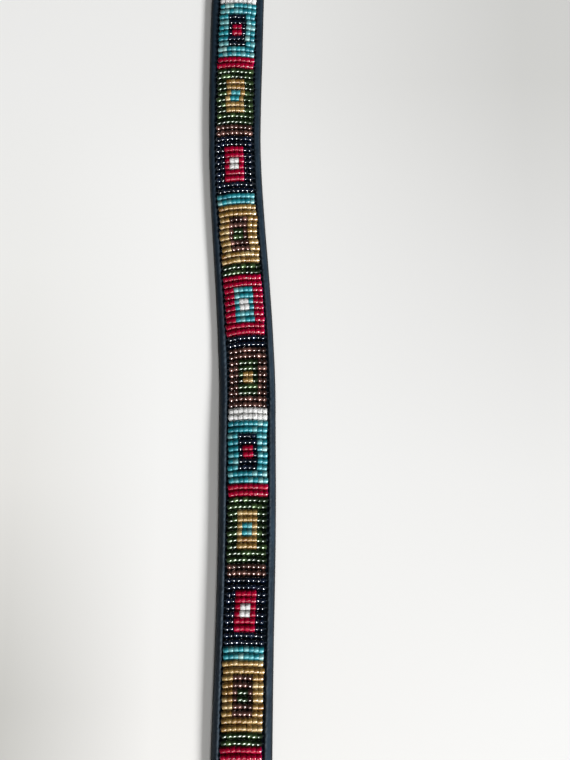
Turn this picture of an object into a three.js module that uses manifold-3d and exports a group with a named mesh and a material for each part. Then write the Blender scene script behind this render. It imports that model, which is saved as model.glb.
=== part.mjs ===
// A beaded leather belt, lying flat with its beads up. One navy strap with rolled margins carries a band
// of glass seed beads, sewn across it in rows, and its turned-back end holds a plain buckle.
// Millimetres. +Z is up, +Y runs from the buckle to the tip, and Z = 0 is the surface that it lies on.

import * as THREE from "three";
import { mergeVertices } from "three/addons/utils/BufferGeometryUtils.js";
import Module from "manifold-3d";

const wasm = await Module();
wasm.setup();

// Beadwork: rows run across the belt, in blocks with a narrow stripe before, between and after them.
const beadDiameter = 2.9;
const beadLength = 2.12;
const beadsPerRow = 8;
const beadGap = 0.06;
const rowGap = 0.02;
const blockRows = 10;
const stripeRows = 2;
const blocks = 20;
const rowArch = 0.8;
const ribDepthShare = 0.27;
const ribShoulderShare = 0.24;
const archStartShare = 0.3;

// Leather: the margins are rolled, and the beads lie in the channel between them.
const marginWidth = 3.6;
const strapThickness = 3;
const marginRise = 0.2;
const channelFloor = 1.2;
const channelSideGap = 0.4;
const channelEndGap = 0.4;
const channelEndRun = 0.6;
const seatClearance = 0.3;

// Lengths along the strap, from the buckle's bar to the tip.
const barToBeads = 62;
const beadsToTip = 200;
const tipRun = 20;
const holeDiameter = 3.8;
const holePitch = 25;
const holeCount = 5;
const tipToFirstHole = 70;

// The turned-back end, pared thinner where it passes round the bar.
const foldThickness = 1.6;
const foldLength = 44;
const foldGap = 0.3;
const foldClosingRun = 18;
const foldRampRun = 12;
const slotLength = 9;
const slotSideGap = 0.5;

// The buckle: frame, bar and prong in one piece.
const barDiameter = 3.2;
const frameThickness = 3.2;
const railWidth = 4;
const frameReach = 19;
const frameSideGap = 1.5;
const frameCorner = 5;
const frameBevel = 0.6;
const railEndLength = 3;
const prongDiameter = 2.6;
const prongOverhang = 1.6;
const knuckleWidth = 2.6;
const knuckleWall = 1;

// How finely round forms are cut into flats.
const roundSides = 16;
const cornerSteps = 6;
const turnSteps = 8;
const slopeSteps = 6;
const prongSteps = 10;
const mergeDistance = 1e-4;

// Colours and finishes.
const navyLeather = { color: 0x22303f, roughness: 0.5, metalness: 0 };
const glassBeads = { color: 0x2f7f8a, roughness: 0.25, metalness: 0 };
const nickel = { color: 0xb9bbbd, roughness: 0.3, metalness: 1 };

// What follows from them.
const rowPitch = beadDiameter + rowGap;
const rows = stripeRows + blocks * (blockRows + stripeRows);
const panelLength = rows * rowPitch;
const panelWidth = beadsPerRow * beadLength + (beadsPerRow - 1) * beadGap;
const channelWidth = panelWidth + 2 * channelSideGap;
const strapWidth = channelWidth + 2 * marginWidth;
const panelSeat = channelFloor + seatClearance;
const panelTop = panelSeat + beadDiameter + rowArch;

const barY = 0;
const panelStart = barY + barToBeads;
const panelEnd = panelStart + panelLength;
const tipY = panelEnd + beadsToTip;
const loopInner = barDiameter / 2 + seatClearance;
const loopOuter = loopInner + foldThickness;
const barZ = loopOuter;

// The belt's gentle bends as it lies, each a smooth sideways shift of its centreline. Their places are
// shares of the beaded length, from the buckle's end, and their shifts are shares of the strap's width.
const bends = [
  { from: 0.141, to: 0.339, shift: 0.074 },
  { from: 0.403, to: 0.601, shift: -0.319 },
  { from: 0.601, to: 0.75, shift: 0.059 },
];
const bendStep = 14;

// The prong's route from the bar to the frame's far rail: places as shares of its length, and heights as
// shares of the height at which it lies on that rail.
const prongRoute = [
  { along: 0, height: 0.27 },
  { along: 0.3, height: 0.9 },
  { along: 0.7, height: 1.14 },
  { along: 1, height: 1 },
];
const prongSinkShare = 0.4;

// The section of one margin, from its underside up its outer side and down to the channel: places as
// shares of the margin's width from its outer edge, heights as shares of its full height.
const marginProfile = [
  { across: 0.28, height: 0 },
  { across: 0.07, height: 0.12 },
  { across: 0, height: 0.35 },
  { across: 0, height: 0.7 },
  { across: 0.08, height: 0.9 },
  { across: 0.27, height: 1 },
  { across: 0.58, height: 1, rolled: 0.98 },
  { across: 0.84, height: 1, rolled: 0.86 },
  { across: 1, height: 1, rolled: 0.56 },
];

const smoothStep = (t) => {
  const s = THREE.MathUtils.clamp(t, 0, 1);
  return s * s * (3 - 2 * s);
};

// The centreline's sideways place at a distance along the belt.
function centreX(y) {
  let x = 0;
  for (const { from, to, shift } of bends) {
    const t = ((y - panelStart) / panelLength - from) / (to - from);
    x += shift * strapWidth * smoothStep(t);
  }
  return x;
}

// A point of the straight belt, across, along and up, moved to where the bent belt has it.
function lay(across, along, up) {
  const probe = 0.5;
  const slope = (centreX(along + probe) - centreX(along - probe)) / (2 * probe);
  const side = new THREE.Vector2(1, -slope).normalize().multiplyScalar(across);
  return new THREE.Vector3(centreX(along) + side.x, along + side.y, up);
}

// A closed solid through rings of points, with convex first and last rings.
function loft(rings) {
  const count = rings[0].length;
  const faces = [];
  for (let ring = 0; ring + 1 < rings.length; ring++) {
    for (let i = 0; i < count; i++) {
      const a = ring * count + i;
      const b = ring * count + ((i + 1) % count);
      faces.push(a, b + count, b, a, a + count, b + count);
    }
  }
  const last = (rings.length - 1) * count;
  for (let i = 1; i + 1 < count; i++) {
    faces.push(0, i, i + 1, last, last + i + 1, last + i);
  }
  const geometry = new THREE.BufferGeometry().setFromPoints(rings.flat());
  geometry.setIndex(faces);
  return geometry;
}

// three.js geometry to a solid for joining and cutting, and back.
function solidOf(geometry) {
  const bare = geometry.clone();
  bare.deleteAttribute("normal");
  bare.deleteAttribute("uv");
  const merged = mergeVertices(bare, mergeDistance);
  const vertProperties = merged.attributes.position.array;
  const triVerts = new Uint32Array(merged.index.array);
  return new wasm.Manifold(new wasm.Mesh({ numProp: 3, vertProperties, triVerts }));
}

function geometryOf(solid) {
  const mesh = solid.getMesh();
  const geometry = new THREE.BufferGeometry();
  geometry.setAttribute("position", new THREE.BufferAttribute(mesh.vertProperties, 3));
  geometry.setIndex(new THREE.BufferAttribute(mesh.triVerts, 1));
  return geometry;
}

// One ring of the strap. The fleshLine point is on its inner face, up is the way from there to its
// outer face, sunk runs from 0 where the strap is plain to 1 where it has its channel, and widthShare
// narrows it at the tip.
function strapRing({ fleshLine, up, thickness, sunk = 0, widthShare = 1 }) {
  const height = thickness + marginRise * sunk;
  const side = marginProfile.map((p) => ({
    across: strapWidth / 2 - p.across * marginWidth,
    rise: height * THREE.MathUtils.lerp(p.height, p.rolled ?? p.height, sunk),
  }));
  side.push({ across: channelWidth / 2, rise: THREE.MathUtils.lerp(height, channelFloor, sunk) });
  const mirrored = side.map((p) => ({ across: -p.across, rise: p.rise })).reverse();
  return [...side, ...mirrored].map(({ across, rise }) =>
    lay(across * widthShare, fleshLine.x + up.x * rise, fleshLine.y + up.y * rise),
  );
}

// The strap's inner face seen from the side, as places along and up, from the turned-back end, round
// the bar and down on to the surface, with the thickness that the leather has at each place.
function foldStations() {
  const stations = [];
  const upperZ = foldThickness + foldGap;
  stations.push({ y: barY + foldLength, z: foldThickness, thickness: foldThickness });
  for (let i = 0; i <= turnSteps; i++) {
    const angle = Math.PI * (i / turnSteps - 0.5);
    const y = barY - loopInner * Math.cos(angle);
    stations.push({ y, z: barZ + loopInner * Math.sin(angle), thickness: foldThickness });
  }
  for (let i = 1; i <= slopeSteps; i++) {
    const t = smoothStep(i / slopeSteps);
    stations.push({
      y: barY + (foldClosingRun * i) / slopeSteps,
      z: THREE.MathUtils.lerp(barZ + loopInner, upperZ, t),
      thickness: THREE.MathUtils.lerp(foldThickness, strapThickness, t),
    });
  }
  for (let i = 0; i <= slopeSteps; i++) {
    stations.push({
      y: barY + foldLength + foldGap + (foldRampRun * i) / slopeSteps,
      z: THREE.MathUtils.lerp(upperZ, 0, smoothStep(i / slopeSteps)),
      thickness: strapThickness,
    });
  }
  return stations;
}

// The ring at each place of the fold stands square to the leather there.
function foldRings() {
  const stations = foldStations();
  return stations.map((at, i) => {
    const before = stations[Math.max(i - 1, 0)];
    const after = stations[Math.min(i + 1, stations.length - 1)];
    const level = i === 0 || i === stations.length - 1;
    const run = new THREE.Vector2(after.y - before.y, level ? 0 : after.z - before.z).normalize();
    const up = new THREE.Vector2(-run.y, run.x);
    return strapRing({ fleshLine: new THREE.Vector2(at.y, at.z), up, thickness: at.thickness });
  });
}

function flatRing(y, sunk, widthShare = 1) {
  const fleshLine = new THREE.Vector2(y, 0);
  return strapRing({ fleshLine, up: new THREE.Vector2(0, 1), thickness: strapThickness, sunk, widthShare });
}

function strapRings() {
  const rings = foldRings();
  const channelStart = panelStart - channelEndGap;
  const channelEnd = panelEnd + channelEndGap;
  rings.push(flatRing(channelStart - channelEndRun, 0));
  const steps = Math.ceil((channelEnd - channelStart) / bendStep);
  for (let i = 0; i <= steps; i++) {
    rings.push(flatRing(THREE.MathUtils.lerp(channelStart, channelEnd, i / steps), 1));
  }
  rings.push(flatRing(channelEnd + channelEndRun, 0));
  for (let i = turnSteps; i > 0; i--) {
    const angle = (Math.PI / 2) * (i / turnSteps);
    rings.push(flatRing(tipY - tipRun * (1 - Math.cos(angle)), 0, Math.sin(angle)));
  }
  return rings;
}

// The strap with its row of holes, and the slot in its fold that the prong passes through.
function makeStrap() {
  let strap = solidOf(loft(strapRings()));
  const punchDepth = 2 * strapThickness;
  const punch = new THREE.CylinderGeometry(holeDiameter / 2, holeDiameter / 2, punchDepth, roundSides);
  punch.rotateX(Math.PI / 2);
  for (let i = 0; i < holeCount; i++) {
    const y = tipY - tipToFirstHole - i * holePitch;
    const placed = punch.clone().translate(centreX(y), y, strapThickness / 2);
    strap = strap.subtract(solidOf(placed));
  }
  const slotReach = slotLength + loopOuter + seatClearance;
  const slotHeight = 2 * (loopOuter + strapThickness);
  const slot = new THREE.BoxGeometry(knuckleWidth + 2 * slotSideGap, slotReach, slotHeight);
  slot.translate(centreX(barY), barY + slotLength - slotReach / 2, barZ);
  return geometryOf(strap.subtract(solidOf(slot)));
}

// The band of beads: a flat underside and one rib for each row, higher in the middle of the belt than at
// the row's ends. Four lines of points run along its top, and two along its underside.
function makePanel() {
  const ribPlaces = [
    { along: 0, rise: 0 },
    { along: ribShoulderShare, rise: 1 },
    { along: 1 - ribShoulderShare, rise: 1 },
  ];
  const archStart = archStartShare * panelWidth;
  const topLines = [
    { across: -panelWidth / 2, drop: rowArch },
    { across: -archStart, drop: 0 },
    { across: archStart, drop: 0 },
    { across: panelWidth / 2, drop: rowArch },
  ];
  const points = [];
  const faces = [];
  const places = ribPlaces.length;
  const topCount = rows * places + 1;
  for (const { across, drop } of topLines) {
    for (let i = 0; i < topCount; i++) {
      const place = ribPlaces[i % places];
      const y = panelStart + (Math.floor(i / places) + place.along) * rowPitch;
      points.push(lay(across, y, panelTop - drop - (1 - place.rise) * ribDepthShare * beadDiameter));
    }
  }
  const footStart = points.length;
  for (const across of [-panelWidth / 2, panelWidth / 2]) {
    for (let row = 0; row <= rows; row++) {
      points.push(lay(across, panelStart + row * rowPitch, panelSeat));
    }
  }
  const top = (line, i) => line * topCount + i;
  const foot = (side, row) => footStart + side * (rows + 1) + row;
  const fan = (...ring) => {
    for (let i = 1; i + 1 < ring.length; i++) {
      faces.push(ring[0], ring[i], ring[i + 1]);
    }
  };

  const lastLine = topLines.length - 1;
  for (let line = 0; line < lastLine; line++) {
    for (let i = 0; i + 1 < topCount; i++) {
      fan(top(line, i), top(line + 1, i), top(line + 1, i + 1), top(line, i + 1));
    }
  }
  for (let row = 0; row < rows; row++) {
    const rib = Array.from({ length: places + 1 }, (_, i) => row * places + i);
    const leftRib = rib.map((i) => top(0, i));
    const rightRib = rib.map((i) => top(lastLine, i)).reverse();
    fan(foot(0, row), foot(0, row + 1), foot(1, row + 1), foot(1, row));
    fan(foot(0, row + 1), foot(0, row), ...leftRib);
    fan(foot(1, row), foot(1, row + 1), ...rightRib);
  }
  fan(foot(0, 0), foot(1, 0), ...topLines.map((_, line) => top(line, 0)).reverse());
  fan(foot(1, rows), foot(0, rows), ...topLines.map((_, line) => top(line, topCount - 1)));

  const geometry = new THREE.BufferGeometry().setFromPoints(points);
  geometry.setIndex(faces);
  return geometry;
}

// The frame is a U whose open side the bar closes.
function frameShape() {
  const inner = strapWidth / 2 + frameSideGap;
  const outer = inner + railWidth;
  const farSide = -frameReach - railWidth;
  const innerCorner = frameCorner - railWidth / 2;
  const innerTurnX = inner - innerCorner;
  const innerTurnY = -frameReach + innerCorner;
  const outerTurnX = outer - frameCorner;
  const outerTurnY = farSide + frameCorner;
  const quarter = Math.PI / 2;
  const shape = new THREE.Shape();
  shape.moveTo(inner, railEndLength);
  shape.lineTo(inner, innerTurnY);
  shape.absarc(innerTurnX, innerTurnY, innerCorner, 0, -quarter, true);
  shape.lineTo(-innerTurnX, -frameReach);
  shape.absarc(-innerTurnX, innerTurnY, innerCorner, -quarter, -2 * quarter, true);
  shape.lineTo(-inner, railEndLength);
  shape.lineTo(-outer, railEndLength);
  shape.lineTo(-outer, outerTurnY);
  shape.absarc(-outerTurnX, outerTurnY, frameCorner, 2 * quarter, 3 * quarter);
  shape.lineTo(outerTurnX, farSide);
  shape.absarc(outerTurnX, outerTurnY, frameCorner, 3 * quarter, 4 * quarter);
  shape.lineTo(outer, railEndLength);
  return shape;
}

// The buckle's frame, bar and prong, joined into one solid about the middle of its bar.
function makeBuckle() {
  const frame = new THREE.ExtrudeGeometry(frameShape(), {
    depth: frameThickness - 2 * frameBevel,
    bevelThickness: frameBevel,
    bevelSize: frameBevel,
    bevelOffset: -frameBevel,
    bevelSegments: 2,
    curveSegments: cornerSteps,
  });
  frame.translate(0, 0, frameBevel - frameThickness / 2);

  const barLength = strapWidth + 2 * frameSideGap + railWidth;
  const bar = new THREE.CylinderGeometry(barDiameter / 2, barDiameter / 2, barLength, roundSides);
  bar.rotateZ(Math.PI / 2);

  const knuckleRadius = barDiameter / 2 + knuckleWall;
  const knuckle = new THREE.CylinderGeometry(knuckleRadius, knuckleRadius, knuckleWidth, roundSides);
  knuckle.rotateZ(Math.PI / 2);

  const prongRadius = prongDiameter / 2;
  const restZ = frameThickness / 2 + (1 - prongSinkShare) * prongRadius;
  const tipAt = -(frameReach + railWidth + prongOverhang - prongRadius);
  const route = prongRoute.map((p) => new THREE.Vector3(0, p.along * tipAt, p.height * restZ));
  const extrudePath = new THREE.CatmullRomCurve3(route);
  const section = new THREE.Shape().absarc(0, 0, prongRadius, 0, 2 * Math.PI);
  const prong = new THREE.ExtrudeGeometry(section, {
    steps: prongSteps,
    curveSegments: cornerSteps,
    extrudePath,
  });
  const nose = new THREE.SphereGeometry(prongRadius, 2 * cornerSteps, turnSteps).translate(0, tipAt, restZ);

  const parts = [frame, bar, knuckle, prong, nose].map(solidOf);
  const buckle = parts.reduce((whole, part) => whole.add(part));
  return geometryOf(buckle);
}

// One named piece with its material.
function mesh(name, geometry, finish) {
  const made = new THREE.Mesh(geometry, new THREE.MeshStandardMaterial(finish));
  made.name = name;
  return made;
}

const buckle = mesh("buckle", makeBuckle(), nickel);
buckle.position.set(centreX(barY), barY, barZ);

const laidBelt = new THREE.Group();
laidBelt.add(mesh("strap", makeStrap(), navyLeather));
laidBelt.add(mesh("bead_panel", makePanel(), glassBeads));
laidBelt.add(buckle);

// The origin is the middle of the belt's outline, on the surface under it.
const middle = new THREE.Box3().setFromObject(laidBelt).getCenter(new THREE.Vector3());
laidBelt.position.set(-middle.x, -middle.y, 0);

const belt = new THREE.Group();
belt.add(laidBelt);

export default belt;
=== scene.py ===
"""A beaded leather belt, lying flat with its beads up.

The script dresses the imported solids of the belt. It models the navy leather strap, every glass seed bead in
seven colours and the sewing thread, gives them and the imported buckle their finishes, and sets up a pale floor,
soft light and a camera. Lengths in the classes are in metres and are written as millimetres times MM.
"""

from __future__ import annotations

import logging
import math
from collections.abc import Callable, Sequence
from dataclasses import dataclass, replace
from enum import Enum

import bmesh
import bpy
import numpy as np
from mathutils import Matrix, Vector


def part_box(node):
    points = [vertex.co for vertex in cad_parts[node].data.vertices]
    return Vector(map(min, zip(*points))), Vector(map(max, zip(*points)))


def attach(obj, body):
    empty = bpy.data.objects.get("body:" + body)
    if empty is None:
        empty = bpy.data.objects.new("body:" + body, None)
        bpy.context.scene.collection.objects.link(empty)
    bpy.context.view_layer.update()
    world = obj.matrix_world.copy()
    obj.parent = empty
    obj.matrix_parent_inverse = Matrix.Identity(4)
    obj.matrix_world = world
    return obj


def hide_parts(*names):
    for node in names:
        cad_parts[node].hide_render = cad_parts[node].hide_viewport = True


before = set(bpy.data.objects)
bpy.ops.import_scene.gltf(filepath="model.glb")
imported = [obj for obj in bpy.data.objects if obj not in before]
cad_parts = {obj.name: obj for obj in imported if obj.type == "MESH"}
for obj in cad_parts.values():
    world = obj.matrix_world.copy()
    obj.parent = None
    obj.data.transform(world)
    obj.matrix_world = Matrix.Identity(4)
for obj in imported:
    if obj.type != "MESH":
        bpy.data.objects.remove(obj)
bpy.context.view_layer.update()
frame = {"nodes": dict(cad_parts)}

MM = 0.001
log = logging.getLogger("beaded_belt")


def linear(hex_colour: str) -> tuple[float, float, float, float]:
    """Turns an sRGB hex colour into linear RGBA.

    Args:
        hex_colour: six hex digits, such as "1c2a3a".

    Returns:
        Linear red, green, blue and an alpha of 1.
    """
    shares = [int(hex_colour[i : i + 2], 16) / 255 for i in (0, 2, 4)]
    red, green, blue = (s / 12.92 if s <= 0.04045 else ((s + 0.055) / 1.055) ** 2.4 for s in shares)
    return red, green, blue, 1.0


def scale_of(size: float) -> float:
    """The scale of a texture whose features are this many metres apart."""
    return 1 / size


def add_node(
    tree: bpy.types.NodeTree,
    kind: str,
    settings: dict[str | int, object] | None = None,
    links: dict[str | int, bpy.types.NodeSocket] | None = None,
) -> bpy.types.Node:
    """Adds a node with its settings and links.

    Args:
        tree: the material's or world's node tree.
        kind: the node's type, such as "ShaderNodeTexNoise".
        settings: values by the name of a property, or by the name or number of an input.
        links: sockets of other nodes, by the name or number of the input that each one feeds.

    Returns:
        The new node.
    """
    node = tree.nodes.new(kind)
    for key, value in (settings or {}).items():
        if isinstance(key, str) and hasattr(node, key):
            setattr(node, key, value)
        else:
            node.inputs[key].default_value = value
    for key, socket in (links or {}).items():
        tree.links.new(socket, node.inputs[key])
    return node


def colour_ramp(
    tree: bpy.types.NodeTree, factor: bpy.types.NodeSocket, stops: Sequence[tuple[float, str]]
) -> bpy.types.Node:
    """Adds a colour ramp.

    Args:
        tree: the node tree.
        factor: the socket that drives the ramp.
        stops: place and hex colour of each stop, in rising order.

    Returns:
        The ramp node.
    """
    ramp = add_node(tree, "ShaderNodeValToRGB", links={"Fac": factor})
    elements = ramp.color_ramp.elements
    while len(elements) < len(stops):
        elements.new(1.0)
    for element, (place, hex_colour) in zip(elements, stops):
        element.position = place
        element.color = linear(hex_colour)
    return ramp


def new_material(name: str) -> tuple[bpy.types.Material, bpy.types.NodeTree, bpy.types.Node]:
    """Makes a material with a Principled shader.

    Args:
        name: the material's name.

    Returns:
        The material, its node tree and its shader node.
    """
    material = bpy.data.materials.new(name)
    material.use_nodes = True
    tree = material.node_tree
    return material, tree, tree.nodes["Principled BSDF"]


def deselect_all() -> None:
    """Leaves nothing selected, so that an operator acts on a new piece alone."""
    if bpy.context.object and bpy.context.object.mode != "OBJECT":
        bpy.ops.object.mode_set(mode="OBJECT")
    bpy.ops.object.select_all(action="DESELECT")


def make_active(piece: bpy.types.Object) -> None:
    """Selects one piece alone and makes it the active one.

    Args:
        piece: the piece.
    """
    deselect_all()
    piece.select_set(True)
    bpy.context.view_layer.objects.active = piece


def select_parts(piece: bpy.types.Object, kind: str, test: Callable[[object], bool]) -> None:
    """Selects the vertices, edges or faces of a piece in edit mode that pass a test.

    Args:
        piece: the object in edit mode.
        kind: "VERT", "EDGE" or "FACE".
        test: says whether an element is selected.
    """
    bpy.ops.mesh.select_mode(type=kind)
    bpy.ops.mesh.select_all(action="DESELECT")
    shape = bmesh.from_edit_mesh(piece.data)
    elements = {"VERT": shape.verts, "EDGE": shape.edges, "FACE": shape.faces}[kind]
    for element in [each for each in elements if test(each)]:
        element.select_set(True)
    shape.select_flush_mode()
    bmesh.update_edit_mesh(piece.data)


def places_of(mesh: bpy.types.Mesh) -> np.ndarray:
    """Reads where the vertices of a mesh are.

    Args:
        mesh: the mesh.

    Returns:
        An array of points.
    """
    places = np.empty(len(mesh.vertices) * 3)
    mesh.vertices.foreach_get("co", places)
    return places.reshape(-1, 3)


def set_places(mesh: bpy.types.Mesh, places: np.ndarray) -> None:
    """Moves the vertices of a mesh to an array of points."""
    mesh.vertices.foreach_set("co", places.astype(np.float32).ravel())
    mesh.update()


def set_share(mesh: bpy.types.Mesh, name: str, shares: np.ndarray) -> None:
    """Stores one number for each vertex of a mesh, for its material to read."""
    attribute = mesh.attributes.new(name, "FLOAT", "POINT")
    attribute.data.foreach_set("value", shares.astype(np.float32))


def take_shape(piece: bpy.types.Object) -> tuple[np.ndarray, np.ndarray]:
    """Reads the shape of a modelled piece, for copying, and throws the piece away.

    Args:
        piece: an object whose faces all have four corners.

    Returns:
        Its points and its faces.
    """
    points = places_of(piece.data)
    faces = np.array([list(face.vertices) for face in piece.data.polygons])
    bpy.data.objects.remove(piece)
    return points, faces


def join_copies(name: str, stamped: np.ndarray, faces: np.ndarray) -> bpy.types.Object:
    """Joins many copies of one shape into a smooth mesh.

    Args:
        name: the new object's name.
        stamped: the points of each copy.
        faces: the faces of one copy.

    Returns:
        The new object.
    """
    count, per_copy = stamped.shape[:2]
    shifted = faces[None] + (np.arange(count) * per_copy)[:, None, None]
    mesh = bpy.data.meshes.new(name)
    mesh.from_pydata(stamped.reshape(-1, 3).tolist(), [], shifted.reshape(-1, faces.shape[1]).tolist())
    mesh.polygons.foreach_set("use_smooth", np.ones(len(mesh.polygons), dtype=bool))
    piece = bpy.data.objects.new(name, mesh)
    bpy.context.scene.collection.objects.link(piece)
    return piece


def smooth_step(share: np.ndarray) -> np.ndarray:
    """Eases from 0 to 1 as the share does."""
    clipped = np.clip(share, 0.0, 1.0)
    return clipped * clipped * (3 - 2 * clipped)


def finish_piece(piece: bpy.types.Object, replaced: str | None = None) -> bpy.types.Object:
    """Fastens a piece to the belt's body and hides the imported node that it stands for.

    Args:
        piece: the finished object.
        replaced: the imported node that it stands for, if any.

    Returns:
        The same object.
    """
    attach(piece, "root")
    if replaced:
        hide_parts(replaced)
    log.info("%s: %d faces", piece.name, len(piece.data.polygons))
    return piece


@dataclass(frozen=True)
class Bend:
    """One gentle sideways shift of the belt, in strap widths, between two shares of its beaded length."""

    start: float
    end: float
    shift: float


@dataclass(frozen=True)
class Hump:
    """One slight rise of the belt off the floor, between two shares of its beaded length."""

    start: float
    crest_start: float
    crest_end: float
    end: float
    height: float


@dataclass(frozen=True)
class Course:
    """The centreline that the belt follows as it lies, and the way on to it from the straight belt.

    Straight places are measured across from the centreline, along the belt and up from the floor.
    """

    near_x: float
    bead_start: float
    bead_length: float
    strap_width: float = 25.38 * MM
    bends: tuple[Bend, ...] = (
        Bend(0.141, 0.339, 0.074),
        Bend(0.403, 0.601, -0.319),
        Bend(0.601, 0.75, 0.059),
    )
    hump: Hump = Hump(0.08, 0.27, 0.36, 0.46, 1.0 * MM)
    probe: float = 0.5 * MM

    def lift(self, along: np.ndarray) -> np.ndarray:
        """Works out how far the belt stands off the floor.

        Args:
            along: distances along the belt.

        Returns:
            The rise at each of them.
        """
        share = (along - self.bead_start) / self.bead_length
        rising = smooth_step((share - self.hump.start) / (self.hump.crest_start - self.hump.start))
        falling = smooth_step((share - self.hump.crest_end) / (self.hump.end - self.hump.crest_end))
        return self.hump.height * rising * (1 - falling)

    def centre(self, along: np.ndarray) -> np.ndarray:
        """Works out where the centreline lies sideways.

        Args:
            along: distances along the belt.

        Returns:
            The sideways place at each of them.
        """
        share = (along - self.bead_start) / self.bead_length
        across = np.full_like(share, self.near_x)
        for bend in self.bends:
            reach = (share - bend.start) / (bend.end - bend.start)
            across += bend.shift * self.strap_width * smooth_step(reach)
        return across

    def slope(self, along: np.ndarray) -> np.ndarray:
        """The centreline's sideways slope at distances along the belt."""
        return (self.centre(along + self.probe) - self.centre(along - self.probe)) / (2 * self.probe)

    def lay(self, straight: np.ndarray) -> np.ndarray:
        """Moves points of the straight belt to where the bent belt has them.

        Args:
            straight: an array of points across, along and up.

        Returns:
            The laid points.
        """
        across, along, up = straight.T
        slope = self.slope(along)
        side = across / np.sqrt(1 + slope * slope)
        return np.column_stack((self.centre(along) + side, along - slope * side, up + self.lift(along)))


class Glass(Enum):
    """The seven bead colours."""

    WHITE = "white"
    TURQUOISE = "turquoise"
    RED = "red"
    GREEN = "green"
    GOLD = "gold"
    BROWN = "brown"
    NAVY = "navy"


@dataclass(frozen=True)
class GlassFinish:
    """The finish of one lot of seed beads: drawn glass tube, cut, tumbled round in heat and coated.

    A lot is never all one colour, so each bead takes its own place between deep and pale. What the coating
    mirrors gives the body its bright and dark sides, and the clear outer glass adds the small sharp lights.
    """

    deep: str
    body: str
    pale: str
    metallic: float
    roughness: float
    coat: float
    coat_roughness: float
    glow: float = 0.0
    glow_reach: float = 1.2 * MM
    gloss: float = 0.3
    ior: float = 1.52
    coat_ior: float = 1.9

    def dress(self, piece: bpy.types.Object, name: str) -> None:
        """Gives a bead mesh this finish.

        Args:
            piece: the joined beads, with their bead_tint attribute.
            name: the material's name.
        """
        material, tree, shader = new_material(name)
        tint = add_node(tree, "ShaderNodeAttribute", {"attribute_name": "bead_tint"})
        stops = [(0.0, self.deep), (0.5, self.body), (1.0, self.pale)]
        lot = colour_ramp(tree, tint.outputs["Fac"], stops)
        tree.links.new(lot.outputs["Color"], shader.inputs["Base Color"])
        shader.inputs["Metallic"].default_value = self.metallic
        shader.inputs["Roughness"].default_value = self.roughness
        shader.inputs["IOR"].default_value = self.ior
        shader.inputs["Coat Weight"].default_value = self.coat
        shader.inputs["Coat Roughness"].default_value = self.coat_roughness
        shader.inputs["Coat IOR"].default_value = self.coat_ior
        shader.inputs["Specular IOR Level"].default_value = self.gloss
        shader.inputs["Subsurface Weight"].default_value = self.glow
        shader.inputs["Subsurface Scale"].default_value = self.glow_reach
        shader.inputs["Subsurface Radius"].default_value = (1.0, 1.0, 1.0)
        piece.data.materials.append(material)


@dataclass(frozen=True)
class BlockColours:
    """The colours of one ten-row block: its frame, its field and the four beads in its middle."""

    frame: Glass
    field: Glass
    heart: Glass


@dataclass(frozen=True)
class BeadShape:
    """One round seed bead with its hole, its axis along X."""

    diameter: float = 2.9 * MM
    length: float = 2.24 * MM
    bore: float = 1.0 * MM
    rounding: float = 0.26 * MM
    barrel: float = 0.955
    sides: int = 12
    rounding_steps: int = 2
    facing: float = 0.9

    def model(self) -> tuple[np.ndarray, np.ndarray]:
        """Models the bead: a cylinder cut in the middle, drawn in at its ends, bored and with bevelled rims.

        Returns:
            Its points and its four-sided faces.
        """
        deselect_all()
        bpy.ops.mesh.primitive_cylinder_add(
            vertices=self.sides,
            radius=self.diameter / 2,
            depth=self.length,
            end_fill_type="NGON",
            rotation=(0, math.pi / 2, 0),
        )
        bead = bpy.context.object
        bpy.ops.object.transform_apply(location=False, rotation=True, scale=False)
        bpy.ops.object.mode_set(mode="EDIT")
        bpy.ops.mesh.select_all(action="SELECT")
        bpy.ops.mesh.bisect(plane_co=(0, 0, 0), plane_no=(1, 0, 0))
        select_parts(bead, "VERT", lambda vert: abs(vert.co.x) > self.length / 4)
        bpy.ops.transform.resize(value=(1, self.barrel, self.barrel), center_override=(0, 0, 0))
        select_parts(bead, "FACE", lambda face: abs(face.normal.x) > self.facing)
        bpy.ops.mesh.inset(thickness=(self.diameter - self.bore) / 2, use_individual=True)
        bpy.ops.mesh.bridge_edge_loops()
        rim = (self.diameter + self.bore) / 4
        select_parts(bead, "EDGE", lambda edge: self._on_rim(edge, rim))
        bpy.ops.mesh.bevel(offset=self.rounding, segments=self.rounding_steps, affect="EDGES")
        bpy.ops.mesh.select_all(action="SELECT")
        bpy.ops.mesh.normals_make_consistent(inside=False)
        bpy.ops.object.mode_set(mode="OBJECT")
        return take_shape(bead)

    def _on_rim(self, edge: bmesh.types.BMEdge, rim: float) -> bool:
        """Says whether an edge lies on the outer rim of one of the bead's ends.

        Args:
            edge: the edge.
            rim: the distance from the axis, beyond which an end's edges belong to its outer rim.

        Returns:
            True for an edge of the outer rim.
        """
        first, second = (vert.co for vert in edge.verts)
        at_end = min(abs(first.x), abs(second.x)) > self.length / 4
        return at_end and min(first.yz.length, second.yz.length) > rim


# Real beads of this size are 2.9 mm in diameter. The white, red, turquoise and gold ones are made larger than
# the rows' pitch, so that their rows close up, and neighbours run into each other by up to half a millimetre.
ROUND_BEAD = BeadShape(diameter=3.18 * MM, barrel=0.94, rounding=0.24 * MM)
STRAIGHT_BEAD = BeadShape(barrel=0.985, rounding=0.2 * MM, sides=16)
GOLD_BEAD = BeadShape(diameter=3.12 * MM, barrel=0.97, rounding=0.2 * MM)
PLUMP_BEAD = BeadShape(diameter=3.42 * MM, barrel=0.93, rounding=0.32 * MM)
FULL_BEAD = BeadShape(diameter=3.36 * MM, barrel=0.955, rounding=0.22 * MM)
RING_BEAD = BeadShape(length=2.1 * MM, barrel=0.78, rounding=0.42 * MM, sides=16)


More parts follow.
